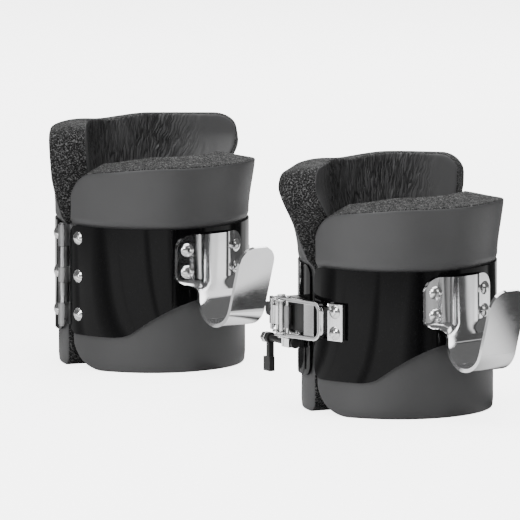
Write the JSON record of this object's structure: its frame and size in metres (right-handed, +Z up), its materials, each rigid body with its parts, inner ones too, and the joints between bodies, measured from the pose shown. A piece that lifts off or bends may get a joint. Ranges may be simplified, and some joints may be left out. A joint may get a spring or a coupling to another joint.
{
  "type": "inversion boots",
  "caption": "Pair of padded ankle shells with hinged halves, ratchet strap buckles and front hooks for hanging from a bar.",
  "frame": {"origin": "middle of the pair's bounding box, on the floor that the boots stand on", "axes": "+Z up; -Y is the way both hooks face; +X is to the right seen from behind the hooks' side, looking along +Y"},
  "size_m": [0.1912, 0.546, 0.198],
  "materials": {
    "shell_paint": "gloss black enamel",
    "foam": "dark grey foam with a smooth satin skin and raw cut edges",
    "hook_chrome": "polished plate",
    "rivet_steel": "bright domed steel",
    "hinge_zinc": "zinc plated, satin",
    "strap_plastic": "semi matte black",
    "black_steel": "satin black oxide",
    "buckle_chrome": "polished plate",
    "spring_steel": "bright wire"
  },
  "bodies": {
    "left_front": {"left_front_shell": "shell_paint", "left_front_pad": "foam", "left_hook": "hook_chrome", "left_hook_rivets": "rivet_steel", "left_front_hinge_leaf": "hinge_zinc", "left_front_hinge_rivets": "rivet_steel", "left_hinge_pin": "hinge_zinc", "left_ladder_strap": "strap_plastic", "left_strap_anchor_plate": "buckle_chrome", "left_strap_rivets": "rivet_steel"},
    "left_rear": {"left_rear_shell": "shell_paint", "left_rear_pad": "foam", "left_rear_hinge_leaf": "hinge_zinc", "left_rear_hinge_rivets": "rivet_steel", "left_buckle_saddle": "strap_plastic", "left_buckle_base": "buckle_chrome", "left_buckle_rivets": "rivet_steel", "left_lever_pin": "rivet_steel", "left_release_pin": "rivet_steel", "left_safety_rod": "black_steel", "left_safety_nut": "buckle_chrome", "left_lever_spring": "spring_steel", "left_release_spring": "spring_steel"},
    "left_lever": {"left_ratchet_lever": "buckle_chrome", "left_drive_pawl_pin": "rivet_steel"},
    "left_drive_pawl_body": {"left_drive_pawl": "hinge_zinc"},
    "left_release_pawl_body": {"left_release_pawl": "buckle_chrome"},
    "left_safety_lever_body": {"left_safety_lever": "black_steel"},
    "right_front": {"right_front_shell": "shell_paint", "right_front_pad": "foam", "right_hook": "hook_chrome", "right_hook_rivets": "rivet_steel", "right_front_hinge_leaf": "hinge_zinc", "right_front_hinge_rivets": "rivet_steel", "right_hinge_pin": "hinge_zinc", "right_ladder_strap": "strap_plastic", "right_strap_anchor_plate": "buckle_chrome", "right_strap_rivets": "rivet_steel"},
    "right_rear": {"right_rear_shell": "shell_paint", "right_rear_pad": "foam", "right_rear_hinge_leaf": "hinge_zinc", "right_rear_hinge_rivets": "rivet_steel", "right_buckle_saddle": "strap_plastic", "right_buckle_base": "buckle_chrome", "right_buckle_rivets": "rivet_steel", "right_lever_pin": "rivet_steel", "right_release_pin": "rivet_steel", "right_safety_rod": "black_steel", "right_safety_nut": "buckle_chrome", "right_lever_spring": "spring_steel", "right_release_spring": "spring_steel"},
    "right_lever": {"right_ratchet_lever": "buckle_chrome", "right_drive_pawl_pin": "rivet_steel"},
    "right_drive_pawl_body": {"right_drive_pawl": "hinge_zinc"},
    "right_release_pawl_body": {"right_release_pawl": "buckle_chrome"},
    "right_safety_lever_body": {"right_safety_lever": "black_steel"}
  },
  "joints": [
    {"name": "left_shell_hinge", "type": "hinge", "parent": "left_front", "child": "left_rear", "pos_m": [-0.08213, 0.20154, 0.08], "axis": [0, 0, 1], "range_deg": [0, 110]},
    {"name": "left_lever_pivot", "type": "hinge", "parent": "left_rear", "child": "left_lever", "pos_m": [0.09097, 0.22237, 0.077], "axis": [0, 0, 1], "range_deg": [0, 70], "stiffness_Nm_per_rad": 0.02},
    {"name": "left_drive_pawl_pivot", "type": "hinge", "parent": "left_lever", "child": "left_drive_pawl_body", "pos_m": [0.09034, 0.2154, 0.077], "axis": [0, 0, -1], "range_deg": [0, 12], "stiffness_Nm_per_rad": 0.01},
    {"name": "left_release_pawl_pivot", "type": "hinge", "parent": "left_rear", "child": "left_release_pawl_body", "pos_m": [0.08791, 0.23106, 0.077], "axis": [0, 0, -1], "range_deg": [0, 25], "stiffness_Nm_per_rad": 0.01},
    {"name": "left_safety_pivot", "type": "hinge", "parent": "left_rear", "child": "left_safety_lever_body", "pos_m": [0.08123, 0.2489, 0.0555], "axis": [0.1195, -0.9928, 0], "range_deg": [0, 100]},
    {"name": "right_shell_hinge", "type": "hinge", "parent": "right_rear", "child": "right_front", "pos_m": [0.08213, -0.11646, 0.08], "axis": [0, 0, 1], "range_deg": [0, 110]},
    {"name": "right_lever_pivot", "type": "hinge", "parent": "right_rear", "child": "right_lever", "pos_m": [-0.09097, -0.09563, 0.077], "axis": [0, 0, -1], "range_deg": [0, 70], "stiffness_Nm_per_rad": 0.02},
    {"name": "right_drive_pawl_pivot", "type": "hinge", "parent": "right_lever", "child": "right_drive_pawl_body", "pos_m": [-0.09034, -0.1026, 0.077], "axis": [0, 0, 1], "range_deg": [0, 12], "stiffness_Nm_per_rad": 0.01},
    {"name": "right_release_pawl_pivot", "type": "hinge", "parent": "right_rear", "child": "right_release_pawl_body", "pos_m": [-0.08791, -0.08693, 0.077], "axis": [0, 0, 1], "range_deg": [0, 25], "stiffness_Nm_per_rad": 0.01},
    {"name": "right_safety_pivot", "type": "hinge", "parent": "right_rear", "child": "right_safety_lever_body", "pos_m": [-0.08123, -0.0691, 0.0555], "axis": [0.1195, 0.9928, 0], "range_deg": [0, 100]},
    {"name": "right_boot_lift", "type": "slide", "parent": "left_front", "child": "right_rear", "axis": [0, 0, 1], "range_m": [0, 0.25]}
  ]
}
